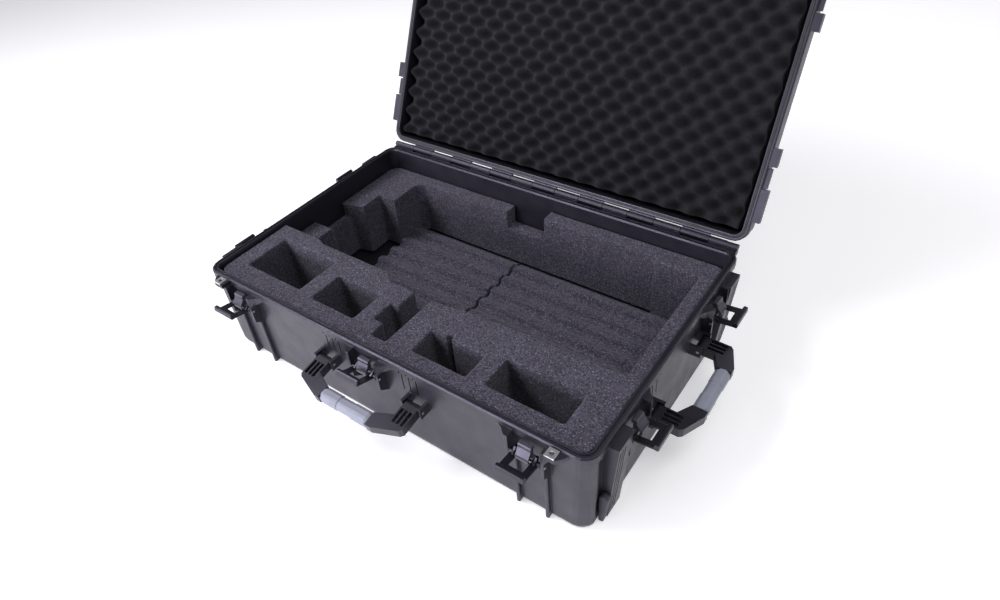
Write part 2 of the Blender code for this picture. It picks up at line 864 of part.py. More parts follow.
def draw_claw_skirt(bm):
    """The curved finger tab that hangs from the claw in front of the latch pin."""
    outline = []
    for radius, steps in ((CLAW_SKIRT, range(6)), (CLAW_SKIRT + 0.0024, range(5, -1, -1))):
        for step in steps:
            angle = math.radians(180.0 + 52.0 * step / 5)
            outline.append((radius * math.cos(angle), radius * math.sin(angle)))
    outline.append((-CLAW_SKIRT - 0.0010, 0.0030))
    outline.append((-0.0052, CLAW_TALL - 0.0080))
    outline.append((-0.0020, CLAW_TALL - 0.0120))
    outline.append((-0.0030, 0.0042))
    add_prism(bm, outline, "X", -CLAW_HALF, CLAW_HALF)


def make_claw(name, mats, frame):
    bm = bmesh.new()
    add_rod(bm, (0.0, 0.0, 0.0), CLAW_BARREL, EAR_INNER - 0.0010)
    raised = Matrix.Rotation(math.radians(-lever_tilt(name)), 4, "X")
    at = raised @ Vector((0.0, CLAW_BACK, CLAW_UP))
    claw = finish(bm, "latch_claw_" + name, mats["claw"], at, frame)
    for tag, draw in (
        ("claw_plate", draw_claw_plate),
        ("claw_skirt", draw_claw_skirt),
        ("trunnions", draw_claw_trunnions),
    ):
        join_to(claw, helper("add_" + tag + "_" + name, draw, frame, at))
    smooth(claw)
    return claw


def make_latch_pin(name, mats, frame):
    bm = bmesh.new()
    add_rod(bm, (0.0, 0.0, 0.0), LATCH_PIN_RADIUS, LUG_OUTER + 0.0012, segments=12)
    smooth(finish(bm, "latch_pin_" + name, mats["steel"], parent=frame))


def make_latches(mats):
    for name, (x, y), turn in wall_places():
        spin = Matrix.Rotation(math.radians(turn), 4, "Z")
        at = Vector((x, y, 0.0)) + spin @ Vector((0.0, -LATCH_OUT, LATCH_Z))
        frame = anchor("latch_frame_" + name, at, turn)
        raised = anchor("latch_turn_" + name, (0.0, 0.0, 0.0), 0.0, -lever_tilt(name), frame)
        make_lever(name, mats, raised)
        make_claw(name, mats, frame)
        make_latch_pin(name, mats, frame)


def draw_handle_barrels(bm, half):
    for side in (-1, 1):
        middle = side * (half - HANDLE_ARM / 2)
        add_rod(bm, (middle, 0.0, 0.0), HANDLE_BARREL, HANDLE_ARM / 2 - 0.0005)


def draw_handle_channels(bm, half):
    """Three long open channels between the thin webs of each arm."""
    for side in (-1, 1):
        for step in (-1, 0, 1):
            at = side * (half - HANDLE_ARM / 2) + step * CHANNEL_PITCH
            low = (at - CHANNEL_HALF, -CHANNEL_HIGH, -HANDLE_THICK)
            high = (at + CHANNEL_HALF, -CHANNEL_LOW, HANDLE_THICK)
            add_box(bm, low, high)


def draw_handle_bars(bm, half):
    """The sunk crossbars of the channels."""
    for side in (-1, 1):
        for middle in (-CHANNEL_LOW - 0.0098, -CHANNEL_LOW - 0.0215):
            near, far = sorted((side * (half - 0.0030), side * (half - HANDLE_ARM + 0.0030)))
            low = (near, middle - 0.0012, -0.0045)
            high = (far, middle + 0.0012, 0.0045)
            add_box(bm, low, high)


def draw_handle_bore(bm, half):
    add_rod(bm, (0.0, 0.0, 0.0), HANDLE_PIN_RADIUS + BORE_PLAY, half + 0.010)


def handle_arm_outline(half):
    """One arm, closed: shoulder, chamfer and the step that holds the grip."""
    inner = half - HANDLE_ARM
    grip_half = half * 0.46
    return [
        (half - 0.0005, 0.0),
        (half - 0.0005, HANDLE_SHOULDER),
        (half - 0.0060, HANDLE_SHOULDER + 0.0060),
        (grip_half + 0.0120, HANDLE_REACH),
        (grip_half, HANDLE_REACH),
        (grip_half, HANDLE_INNER),
        (inner + 0.0005, 0.0300),
        (inner + 0.0005, 0.0),
    ]


def draw_handle_arms(bm, half):
    for side in (-1, 1):
        points = [(side * x, -y) for x, y in handle_arm_outline(half)]
        add_prism(bm, points, "Z", -HANDLE_THICK / 2, HANDLE_THICK / 2)


def make_handle_frame(name, half, mats, frame):
    middle = (HANDLE_INNER + HANDLE_REACH) / 2
    bm = bmesh.new()
    add_box(bm, (-half * 0.5, -middle - 0.0060, -0.0050), (half * 0.5, -middle + 0.0060, 0.0050))
    handle = finish(bm, "handle_frame_" + name, mats["lever"], parent=frame)
    for tag, draw in (("arms", draw_handle_arms), ("barrels", draw_handle_barrels)):
        join_to(handle, helper("add_" + tag + "_" + name, lambda b, d=draw: d(b, half), frame))
    for tag, draw in (("channels", draw_handle_channels), ("pin_bore", draw_handle_bore)):
        cut_from(handle, helper("cut_" + tag + "_" + name, lambda b, d=draw: d(b, half), frame))
    join_to(handle, helper("add_bars_" + name, lambda b: draw_handle_bars(b, half), frame))
    smooth(handle)
    return handle


def draw_grip_tunnel(bm, half):
    middle = (HANDLE_INNER + HANDLE_REACH) / 2
    add_box(bm, (-half, -middle - 0.0063, -0.0053), (half, -middle + 0.0063, 0.0053))


def grip_ring(x, across, tall, crease):
    """Section of the grip: chamfered edges and a ridge line along its outer side."""
    chamfer = 0.0062
    return [
        (x, across - chamfer, tall),
        (x, crease, tall + 0.0012),
        (x, -across + chamfer, tall),
        (x, -across, tall - chamfer),
        (x, -across, -tall + chamfer),
        (x, -across + chamfer, -tall),
        (x, across - chamfer, -tall),
        (x, across, -tall + chamfer),
        (x, across, tall - chamfer),
    ]


def make_grip(name, half, mats, frame):
    grip_half = half * 0.46 - GAP
    middle = (HANDLE_INNER + HANDLE_REACH) / 2
    across = (HANDLE_REACH - HANDLE_INNER) / 2
    tall = GRIP_THICK / 2
    bm = bmesh.new()
    loops = []
    for along, lean, thin in (
        (-grip_half, 0.0020, 0.0016),
        (-grip_half + 0.0050, 0.0, 0.0),
        (-GRIP_GROOVE, 0.0, 0.0),
        (-GRIP_GROOVE + 0.0010, 0.0008, 0.0010),
        (GRIP_GROOVE - 0.0010, 0.0008, 0.0010),
        (GRIP_GROOVE, 0.0, 0.0),
        (grip_half - 0.0050, 0.0, 0.0),
        (grip_half, 0.0020, 0.0016),
    ):
        ring = grip_ring(along, across - lean, tall - thin, -GRIP_CREASE)
        loops.append([(x, a - middle, b) for x, a, b in ring])
    skin_loops(bm, loops)
    grip = finish(bm, "handle_grip_" + name, mats["grip"], parent=frame)
    cut_from(grip, helper("cut_tunnel_" + name, lambda b: draw_grip_tunnel(b, half), frame))
    smooth(grip, 25.0)
    return grip


def make_handle_pins(name, half, mats, frame):
    for tag, side in (("a", -1), ("b", 1)):
        bm = bmesh.new()
        add_rod(bm, (0.0, 0.0, 0.0), HANDLE_PIN_RADIUS, HANDLE_ARM / 2 + 0.0065, segments=12)
        at = (side * (half - HANDLE_ARM / 2), 0.0, 0.0)
        smooth(finish(bm, "handle_pin_" + name + "_" + tag, mats["steel"], at, frame))


def make_handles(mats):
    for name, (x, y), turn, half, rest in handle_places():
        spin = Matrix.Rotation(math.radians(turn), 4, "Z")
        at = Vector((x, y, 0.0)) + spin @ Vector((0.0, -HANDLE_OUT, HANDLE_Z))
        fixed = anchor("handle_mount_" + name, at, turn)
        frame = anchor("handle_turn_" + name, (0.0, 0.0, 0.0), 0.0, rest, fixed)
        make_handle_frame(name, half, mats, frame)
        make_grip(name, half, mats, frame)
        make_handle_pins(name, half, mats, fixed)


def draw_hasp_holes(bm):
    for side in (-1, 1):
        add_rod(bm, (side * HASP_X, -HALF_Y - HASP_OUT, HASP_LOW), HASP_HOLE, 0.0300, "Z")


def draw_plate_hole(bm):
    add_rod(bm, (0.0, 0.0, 0.0), HASP_HOLE, 0.010, "Z")


def make_hasps(mats):
    for tag, side in (("left", -1), ("right", 1)):
        at = (side * HASP_X, -HALF_Y - HASP_OUT, HASP_LOW + GAP)
        bm = bmesh.new()
        add_box(bm, (-HASP_HALF, -HASP_HALF, 0.0), (HASP_HALF, HASP_HALF, HASP_THICK))
        hasp = finish(bm, "hasp_plate_" + tag, mats["hasp"], at)
        cut_from(hasp, helper("cut_hasp_" + tag, draw_plate_hole, location=at))
        smooth(hasp)


def tray_outline():
    """Plan of the front tray: the rear edge steps in beside the narrow slot."""
    return [
        (TRAY_LEFT + 0.020, TRAY_FRONT),
        (TRAY_RIGHT - 0.020, TRAY_FRONT),
        (TRAY_RIGHT - 0.006, TRAY_FRONT + 0.006),
        (TRAY_RIGHT, TRAY_FRONT + 0.020),
        (TRAY_RIGHT, TRAY_BACK + 0.004),
        (0.100, TRAY_BACK - 0.006),
        (0.046, TRAY_BACK - 0.016),
        (0.011, TRAY_BACK - 0.016),
        (0.011, -0.260),
        (-0.027, -0.260),
        (-0.027, -0.224),
        (-0.053, -0.224),
        (-0.053, -0.174),
        (-0.034, -0.174),
        (-0.034, TRAY_BACK - 0.015),
        (-0.102, TRAY_BACK - 0.015),
        (-0.126, TRAY_BACK + 0.005),
        (-0.320, TRAY_BACK + 0.005),
        (-0.345, TRAY_BACK + 0.014),
        (TRAY_LEFT, TRAY_BACK + 0.014),
        (TRAY_LEFT, TRAY_FRONT + 0.020),
        (TRAY_LEFT + 0.006, TRAY_FRONT + 0.006),
    ]


def tray_blocks():
    """Plans of the four blocks that stand on the tray's base layer, from left to right."""
    first, second, third = TRAY_SPLITS
    return {
        "far_left": [
            (TRAY_LEFT + 0.020, TRAY_FRONT),
            (first - GAP / 2, TRAY_FRONT),
            (first - GAP / 2, TRAY_BACK + 0.005),
            (-0.320, TRAY_BACK + 0.005),
            (-0.345, TRAY_BACK + 0.014),
            (TRAY_LEFT, TRAY_BACK + 0.014),
            (TRAY_LEFT, TRAY_FRONT + 0.020),
            (TRAY_LEFT + 0.006, TRAY_FRONT + 0.006),
        ],
        "left": [
            (first + GAP / 2, TRAY_FRONT),
            (second - GAP / 2, TRAY_FRONT),
            (second - GAP / 2, -0.260),
            (-0.027, -0.260),
            (-0.027, -0.224),
            (-0.053, -0.224),
            (-0.053, -0.174),
            (-0.034, -0.174),
            (-0.034, TRAY_BACK - 0.015),
            (-0.102, TRAY_BACK - 0.015),
            (-0.126, TRAY_BACK + 0.005),
            (first + GAP / 2, TRAY_BACK + 0.005),
        ],
        "right": [
            (second + GAP / 2, TRAY_FRONT),
            (third - GAP / 2, TRAY_FRONT),
            (third - GAP / 2, TRAY_BACK - 0.0028),
            (0.100, TRAY_BACK - 0.006),
            (0.046, TRAY_BACK - 0.016),
            (0.011, TRAY_BACK - 0.016),
            (0.011, -0.260),
            (second + GAP / 2, -0.260),
        ],
        "far_right": [
            (third + GAP / 2, TRAY_FRONT),
            (TRAY_RIGHT - 0.020, TRAY_FRONT),
            (TRAY_RIGHT - 0.006, TRAY_FRONT + 0.006),
            (TRAY_RIGHT, TRAY_FRONT + 0.020),
            (TRAY_RIGHT, TRAY_BACK + 0.004),
            (third + GAP / 2, TRAY_BACK - 0.0028),
        ],
    }


def tray_pockets():
    """Low and high corners, in plan, of the pocket in each block."""
    return {
        "far_left": ((-0.4130, -0.2390), (-0.2500, -0.1340)),
        "left": ((-0.2070, -0.2450), (-0.0890, -0.1650)),
        "right": ((0.0690, -0.2520), (0.1930, -0.1920)),
        "far_right": ((0.2330, -0.2490), (0.3940, -0.1780)),
    }


def draw_tray_slit(bm):
    """The finger slit behind the right block's pocket."""
    add_box(bm, (0.1040, -0.2000, FOAM_LOW), (0.1150, -0.1810, TRAY_TOP + 0.020))


def make_tray(mats):
    bm = bmesh.new()
    add_prism(bm, tray_outline(), "Z", FOAM_LOW, TRAY_LAYER - GAP)
    finish(bm, "foam_tray_base", mats["foam"])
    for name, plan in tray_blocks().items():
        bm = bmesh.new()
        add_prism(bm, plan, "Z", TRAY_LAYER, TRAY_TOP)
        block = finish(bm, "foam_tray_" + name, mats["foam"])
        low, high = tray_pockets()[name]
        span = ((*low, FOAM_LOW), (*high, TRAY_TOP + 0.020))
        cut_from(block, helper("cut_pocket_" + name, lambda b, at=span: add_box(b, *at)))
        if name == "right":
            cut_from(block, helper("cut_tray_slit", draw_tray_slit))


def ring_bars():
    """Plan and top of each foam bar round the cavity, open towards the tray."""
    front = TRAY_BACK + 0.0145
    left = TRAY_LEFT
    right = TRAY_RIGHT
    return {
        "left": (
            [
                (left, front),
                (-0.4000, front),
                (-0.4000, -0.0110),
                (-0.4380, 0.0200),
                (-0.4380, 0.0860),
                (-0.3980, 0.0960),
                (-0.3980, 0.1560),
                (RING_LEFT_X - GAP / 2, 0.1560),
                (RING_LEFT_X - GAP / 2, BODY_BACK),
                (left + 0.020, BODY_BACK),
                (left + 0.006, BODY_BACK - 0.006),
                (left, BODY_BACK - 0.020),
            ],
            BODY_TOP,
        ),
        "rear_left": (
            [
                (RING_LEFT_X + GAP / 2, 0.2380),
                (-0.3300, BODY_INNER_Y),
                (NOTCH_LEFT - GAP / 2, BODY_INNER_Y),
                (NOTCH_LEFT - GAP / 2, BODY_BACK),
                (RING_LEFT_X + GAP / 2, BODY_BACK),
            ],
            BODY_TOP,
        ),
        "rear_mid": (
            [
                (NOTCH_LEFT + GAP / 2, BODY_INNER_Y),
                (NOTCH_RIGHT - GAP / 2, BODY_INNER_Y),
                (NOTCH_RIGHT - GAP / 2, BODY_BACK),
                (NOTCH_LEFT + GAP / 2, BODY_BACK),
            ],
            NOTCH_TOP,
        ),
        "rear_right": (
            [
                (NOTCH_RIGHT + GAP / 2, BODY_INNER_Y),
                (0.3180, BODY_INNER_Y),
                (0.3180, 0.2360),
                (right, 0.2360),
                (right, BODY_BACK - 0.020),
                (right - 0.006, BODY_BACK - 0.006),
                (right - 0.020, BODY_BACK),
                (NOTCH_RIGHT + GAP / 2, BODY_BACK),
            ],
            RIGHT_BAND_TOP,
        ),
        "right": (
            [
                (0.4200, front),
                (right, front),
                (right, 0.2360 - GAP),
                (0.4200, 0.2360 - GAP),
            ],
            RIGHT_BAND_TOP,
        ),
    }


def draw_left_step(bm):
    add_box(bm, (-0.500, -0.0110, LEFT_STEP_TOP), (-0.390, 0.0805, BODY_TOP + 0.020))


def make_ring(mats):
    for name, (plan, top) in ring_bars().items():
        bm = bmesh.new()
        add_prism(bm, plan, "Z", FOAM_LOW, top)
        bar = finish(bm, "foam_ring_" + name, mats["foam"])
        if name == "left":
            cut_from(bar, helper("cut_left_step", draw_left_step))


def ridge_outline(front, back, pitch, low, high):
    """Side profile of a floor slab whose top steps up and down in long ridges."""
    points = [(front, FOAM_LOW), (back, FOAM_LOW), (back, low)]
    count = int((back - front) / pitch)
    for i in range(count):
        start = back - pitch * (i + 0.15)
        points.append((start, low))
        points.append((start - pitch * 0.30, high))
        points.append((start - pitch * 0.55, high))
        points.append((start - pitch * 0.70, low))
    points.append((front, low))
    return points


def make_floor_foam(mats):
    front = TRAY_BACK + 0.0160
    back = 0.2340
    spans = (("left", -0.3440, SLIT_X - 0.003), ("right", SLIT_X + 0.003, 0.4180))
    for name, low_x, high_x in spans:
        bm = bmesh.new()
        outline = ridge_outline(front, back, 0.0460, FLOOR_FOAM_TOP, FLOOR_FOAM_TOP + 0.0160)
        add_prism(bm, outline, "X", low_x, high_x)
        finish(bm, "foam_floor_" + name, mats["foam"])


def main():
    clear_scene()
    mats = make_materials()
    make_base(mats)
    make_feet(mats)
    hinge = anchor("lid_hinge", HINGE_AT, 0.0, -LID_OPEN_DEG)
    make_lid(mats, hinge)
    make_gasket(mats, hinge)
    make_lid_foam(mats, hinge)
    make_hinge_pin(mats)
    make_latches(mats)
    make_handles(mats)
    make_hasps(mats)
    make_tray(mats)
    make_ring(mats)
    make_floor_foam(mats)


main()
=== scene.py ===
"""Looks of the carrying case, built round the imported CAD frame. Metres, +Z up, hinge along +X."""

import json
import math

import bmesh
import bpy
import numpy as np
from mathutils import Matrix, Vector, noise


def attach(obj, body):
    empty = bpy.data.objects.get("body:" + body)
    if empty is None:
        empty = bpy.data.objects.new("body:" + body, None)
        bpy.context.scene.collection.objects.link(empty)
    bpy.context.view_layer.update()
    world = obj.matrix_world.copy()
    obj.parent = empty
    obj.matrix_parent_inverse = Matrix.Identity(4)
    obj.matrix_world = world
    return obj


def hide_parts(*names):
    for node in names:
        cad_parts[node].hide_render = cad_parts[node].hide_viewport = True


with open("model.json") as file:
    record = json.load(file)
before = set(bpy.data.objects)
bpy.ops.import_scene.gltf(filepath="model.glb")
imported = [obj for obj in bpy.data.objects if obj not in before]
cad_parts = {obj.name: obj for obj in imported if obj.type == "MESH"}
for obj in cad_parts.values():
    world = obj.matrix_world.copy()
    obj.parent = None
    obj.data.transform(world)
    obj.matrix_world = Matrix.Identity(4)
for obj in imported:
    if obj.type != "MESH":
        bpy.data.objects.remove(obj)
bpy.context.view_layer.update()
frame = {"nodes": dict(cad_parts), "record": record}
NODES = frame["nodes"]

# Camera, in the same frame as the case.
CAMERA_AT = (0.7862, -0.8752, 1.1179)
CAMERA_AZIMUTH = 39.72
CAMERA_ELEVATION = 39.32
CAMERA_ROLL = 5.99
CAMERA_LENS = 25.59
CAMERA_SHIFT = (0.0122, -0.0221)

# Lid: hinge axis, opening angle and the foam sheet in it.
HINGE_AT = Vector((0.0, 0.3125, 0.2115))
LID_OPEN_DEG = 115.0
LID_Z = 0.2086
LID_FOAM_LOW = LID_Z + 0.0015
LID_FOAM_BACK = LID_Z + 0.0675
LID_FOAM_HALF = (0.4505, 0.2785)
EGG_PITCH_X = 0.0530
EGG_PITCH_Y = 0.0490
EGG_DEPTH = 0.0260
EGG_PEAK_POWER = 1.15
EGG_FACE_GAP = 0.0010
EGG_STEP = 0.0036
EGG_WOBBLE = 0.0009
EGG_WOBBLE_SCALE = 30.0

# Apron under the hinge, between the rear wall and the open lid. It has no CAD solid.
APRON_HALF = 0.4350
APRON_Y = (0.3005, 0.3370)
APRON_Z = (0.1990, 0.2026)
APRON_ROUND = 0.0011

# Foam: each cut block and the CAD solids that it stands for.
SEAM_GROWTH = 0.0004
WELD = 1e-5
FOAM_VOXEL = 0.0024
FOAM_PASSES = 2
FOAM_SWAY = 0.00055
FOAM_INSET = 0.9
FOAM_BROAD_WAVE = 21.0
FOAM_FINE_WAVE = 60.0
FOAM_FACES_KEPT = 0.30
FLOOR_REACH = 0.0030
FLOOR_SLIT_X = -0.030
FLOOR_TOP = 0.032
RIDGE_KEPT = 0.5
FOAM_BLOCKS = {
    "front_tray_cut": [
        "foam_tray_base",
        "foam_tray_far_left",
        "foam_tray_left",
        "foam_tray_right",
        "foam_tray_far_right",
    ],
    "cavity_ring_cut": [
        "foam_ring_left",
        "foam_ring_rear_left",
        "foam_ring_rear_mid",
        "foam_ring_rear_right",
        "foam_ring_right",
    ],
    "floor_left_cut": ["foam_floor_left"],
    "floor_right_cut": ["foam_floor_right"],
}


# Finishes that several materials share.
VIOLET = (0.84, 0.82, 1.00)
EDGE_RADIUS = 0.0012

# Studio: paper floor, world that fades with height, and soft lights.
FLOOR_HALF = 9.0
FLOOR_CELLS = 24
FLOOR_DROP = 0.0004
PAPER_TONES = ((0.84, 0.84, 0.85), (0.88, 0.88, 0.89))
PAPER_GLOW = (0.98, 0.98, 1.0, 1.0)
PAPER_GLOW_STRENGTH = 0.35
WORLD_COLOUR = (0.95, 0.94, 1.0, 1.0)
WORLD_FADE = {"From Min": 0.0, "From Max": 0.38, "To Min": 0.95, "To Max": 0.10}
# Each light: its place, the point it is aimed at, size, watts and colour.
LIGHTS = {
    "key_light": ((-1.9, -1.2, 2.6), (0.0, 0.0, 0.1), (1.6, 1.4), 92.0, (0.98, 0.96, 1.0)),
    "front_light": ((-1.1, -3.0, 0.75), (0.0, -0.3, 0.1), (2.2, 0.9), 84.0, (0.93, 0.91, 1.0)),
    "rear_light": ((0.6, 2.9, 2.4), (0.0, 0.2, 0.1), (2.4, 1.0), 26.0, (0.97, 0.96, 1.0)),
    "floor_light": ((1.9, -0.2, 3.2), (2.2, 0.2, 0.0), (1.6, 2.6), 60.0, (1.0, 1.0, 1.0)),
}


class Look:
    """A node material: a Principled shader and the nodes that feed it."""

    def __init__(self, name, roughness=0.5, metallic=0.0, specular=0.5, sheen=0.0):
        self.material = bpy.data.materials.new(name)
        self.material.use_nodes = True
        self.tree = self.material.node_tree
        self.shader = self.tree.nodes["Principled BSDF"]
        self.set("Roughness", roughness)
        self.set("Metallic", metallic)
        self.set("Specular IOR Level", specular)
        self.set("Sheen Weight", sheen)
        self.place = self.add("ShaderNodeTexCoord").outputs["Object"]

    def set(self, socket, value):
        self.shader.inputs[socket].default_value = value

    def add(self, kind, inputs=None, **settings):
        node = self.tree.nodes.new(kind)
        for key, value in settings.items():
            setattr(node, key, value)
        for key, value in (inputs or {}).items():
            if isinstance(value, bpy.types.NodeSocket):
                self.tree.links.new(value, node.inputs[key])
            else:
                node.inputs[key].default_value = value
        return node

    def feed(self, socket, value):
        self.tree.links.new(value, self.shader.inputs[socket])

    def stretched(self, scale):
        node = self.add("ShaderNodeMapping", {"Vector": self.place, "Scale": scale})
        return node.outputs["Vector"]

    def noise(self, scale, detail=3.0, rough=0.5, place=None):
        node = self.add(
            "ShaderNodeTexNoise",
            {"Vector": place or self.place, "Scale": scale, "Detail": detail, "Roughness": rough},
        )
        return node.outputs["Fac"]

    def ramp(self, value, low, high, to_low=0.0, to_high=1.0):
        node = self.add(
            "ShaderNodeMapRange",
            {"Value": value, "From Min": low, "From Max": high, "To Min": to_low, "To Max": to_high},
        )
        return node.outputs["Result"]

    def math(self, operation, first, second):
        node = self.add("ShaderNodeMath", {0: first, 1: second}, operation=operation)
        return node.outputs["Value"]

    def mix(self, share, first, second, blend="MIX"):
        node = self.add("ShaderNodeMix", {"Factor": share}, data_type="RGBA", blend_type=blend)
        for socket, value in ((node.inputs[6], first), (node.inputs[7], second)):
            if isinstance(value, bpy.types.NodeSocket):
                self.tree.links.new(value, socket)
            else:
                socket.default_value = (*value, 1.0)
        return node.outputs[2]

    def grey(self, value):
        node = self.add("ShaderNodeCombineColor", {"Red": value, "Green": value, "Blue": value})
        return node.outputs["Color"]

    def bump(self, height, strength, distance, normal=None):
        inputs = {"Height": height, "Strength": strength, "Distance": distance}
        if normal is not None:
            inputs["Normal"] = normal
        return self.add("ShaderNodeBump", inputs).outputs["Normal"]

    def rounded(self, radius):
        return self.add("ShaderNodeBevel", {"Radius": radius}, samples=4).outputs["Normal"]

    # Mask for a painted highlight: it marks where the colour is lightened along edges.
    def edge_highlight(self, radius, low, high):
        """Rises from 0 on a flat face to 1 on a sharp edge."""
        soft = self.rounded(radius)
        true = self.add("ShaderNodeNewGeometry").outputs["Normal"]
        facing = self.add("ShaderNodeVectorMath", {0: soft, 1: true}, operation="DOT_PRODUCT")
        return self.ramp(facing.outputs["Value"], high, low, 0.0, 1.0)


def plastic(name, colour, light, roughness, grain, specular=0.5):
    """Moulded plastic: spark-eroded grain, faint mottling, scuffs, and a painted highlight that lightens
    the edges.
    """
    look = Look(name, roughness=roughness, specular=specular)
    look.set("Specular Tint", (*VIOLET, 1.0))
    mottle = look.ramp(look.noise(9.0, 4.0), 0.3, 0.7)
    scuff = look.ramp(look.noise(70.0, 6.0, 0.7, look.stretched((1.0, 0.35, 1.0))), 0.55, 0.80)
    tint = tuple(1.28 * c for c in colour)
    base = look.mix(mottle, colour, tint)
    # Painted highlight: edges are mixed towards the light colour to stand in for light caught on rounded
    # edges; this is not wear.
    wear_and_edge_highlight = look.mix(look.math("MULTIPLY", look.edge_highlight(EDGE_RADIUS, 0.80, 0.995), 0.55), base, light)
    look.feed("Base Color", look.mix(look.math("MULTIPLY", scuff, 0.10), wear_and_edge_highlight, light))
    rough = look.ramp(look.noise(26.0, 5.0), 0.25, 0.75, roughness - 0.07, roughness + 0.08)
    look.feed("Roughness", rough)
    fine = look.noise(grain, 2.0, 0.6)
    look.feed("Normal", look.bump(fine, 0.35, 0.00025, look.rounded(EDGE_RADIUS)))
    return look.material


def foam(name, colour, light, cell, grit=1.0):
    """Closed-cell foam: beads of slightly different greys, pale flecks, and dark spots of painted shade
    in the pores.
    """
    look = Look(name, roughness=0.92, specular=0.22, sheen=0.08 * grit)
    look.set("Sheen Roughness", 0.6)
    bead = look.add("ShaderNodeTexVoronoi", {"Vector": look.place, "Scale": cell})
    tone = look.add("ShaderNodeSeparateColor", {"Color": bead.outputs["Color"]}).outputs["Red"]
    shade = look.ramp(tone, 0.0, 1.0, 0.45, 1.60)
    cloud = look.ramp(look.noise(14.0, 4.0), 0.3, 0.7, 0.90, 1.10)
    base = look.mix(1.0, colour, look.grey(look.math("MULTIPLY", shade, cloud)), "MULTIPLY")
    fleck = look.ramp(look.noise(cell * 1.1, 2.0, 0.6), 0.56, 0.70)
    # Painted shade: dark spots stand in for the shade inside the foam's pores.
    pore_shade = look.ramp(look.noise(cell * 0.8, 3.0, 0.7), 0.44, 0.28)
    spotted = look.mix(look.math("MULTIPLY", fleck, 0.75 * grit), base, light)
    dark = tuple(0.25 * c for c in colour)
    look.feed("Base Color", look.mix(look.math("MULTIPLY", pore_shade, 0.8 * grit), spotted, dark))
    height = look.math("SUBTRACT", look.noise(cell * 0.9, 4.0, 0.7), bead.outputs["Distance"])
    look.feed("Normal", look.bump(height, 0.55, 0.0012))
    return look.material


def steel(name, colour, roughness):
    """Plated steel: fine brushing and faint stains."""
    look = Look(name, roughness=roughness, metallic=1.0)
    stain = look.ramp(look.noise(60.0, 4.0), 0.35, 0.75)
    look.feed("Base Color", look.mix(stain, colour, tuple(0.82 * c for c in colour)))
    brush = look.noise(900.0, 2.0, 0.5, look.stretched((0.08, 1.0, 1.0)))
    look.feed("Roughness", look.ramp(brush, 0.2, 0.8, roughness - 0.08, roughness + 0.12))
    look.feed("Normal", look.bump(brush, 0.12, 0.00008, look.rounded(0.0006)))
    return look.material


def rubber(name, colour, dark):
    """Soft grip moulding: matt, with a light handling sheen."""
    look = Look(name, roughness=0.55, specular=0.45, sheen=0.10)
    wear_and_edge_highlight = look.ramp(look.noise(35.0, 5.0, 0.65), 0.40, 0.72)
    look.feed("Base Color", look.mix(look.math("MULTIPLY", wear_and_edge_highlight, 0.45), colour, dark))
    look.feed("Roughness", look.ramp(look.noise(90.0, 3.0), 0.3, 0.7, 0.46, 0.66))
    look.feed("Normal", look.bump(look.noise(1500.0, 2.0), 0.30, 0.0002, look.rounded(0.0015)))
    return look.material


def paper(name):
    """Seamless pale sweep with the faintest unevenness."""
    look = Look(name, roughness=0.85, specular=0.2)
    look.feed("Base Color", look.mix(look.noise(1.5, 2.0), *PAPER_TONES))
    look.set("Emission Color", PAPER_GLOW)
    look.set("Emission Strength", PAPER_GLOW_STRENGTH)
    return look.material


LOOKS = {
    "shell": plastic(
        "shell_plastic", (0.0070, 0.0066, 0.0100), (0.038, 0.037, 0.049), 0.42, 900.0, specular=0.70
    ),
    "lever": plastic("lever_plastic", (0.0055, 0.0055, 0.0078), (0.060, 0.059, 0.076), 0.34, 1300.0),
    "claw": plastic("claw_plastic", (0.038, 0.038, 0.050), (0.200, 0.196, 0.235), 0.36, 1300.0),
    "foot": plastic("foot_plastic", (0.030, 0.029, 0.038), (0.110, 0.108, 0.132), 0.58, 900.0),
    "grip": rubber("grip_rubber", (0.232, 0.243, 0.305), (0.175, 0.184, 0.232)),
    "gasket": rubber("gasket_rubber", (0.010, 0.010, 0.012), (0.006, 0.006, 0.007)),
    "steel": steel("plated_steel", (0.74, 0.74, 0.76), 0.26),
    "hasp": steel("hasp_steel", (0.86, 0.86, 0.88), 0.34),
    "foam": foam("insert_foam", (0.044, 0.040, 0.059), (0.235, 0.226, 0.288), 330.0),
    "lid_foam": foam("lid_foam", (0.0050, 0.0047, 0.0072), (0.022, 0.021, 0.029), 900.0, 0.5),
}


def paint_nodes():
    """Every CAD node that stays takes its slot's look."""
    for part in frame["record"]["subparts"]:
        obj = NODES[part["node"]]
        look = LOOKS[part["material_slot"]]
        obj.data.materials.clear()
        obj.data.materials.append(look)


def linked(name, mesh, look):
    obj = bpy.data.objects.new(name, mesh)
    bpy.context.scene.collection.objects.link(obj)
    mesh.materials.clear()
    mesh.materials.append(look)
    mesh.polygons.foreach_set("use_smooth", [True] * len(mesh.polygons))
    return obj


def evaluated(obj):
    """The object's mesh with its modifiers applied, in place of its old one."""
    bpy.context.view_layer.update()
    made = bpy.data.meshes.new_from_object(obj.evaluated_get(bpy.context.evaluated_depsgraph_get()))
    old = obj.data
    obj.modifiers.clear()
    obj.data = made
    bpy.data.meshes.remove(old)
    return obj


def spread_floor(bm):
    """Floor foam is pressed against the ring round it, and its ridges are worn low."""
    for vert in bm.verts:
        x, y, z = vert.co
        nx, ny, nz = vert.normal
        if nx * (x - FLOOR_SLIT_X) > 0:
            x += FLOOR_REACH * nx
        if z > FLOOR_TOP:
            z = FLOOR_TOP + RIDGE_KEPT * (z - FLOOR_TOP)
        vert.co = (x, y + FLOOR_REACH * ny, z)


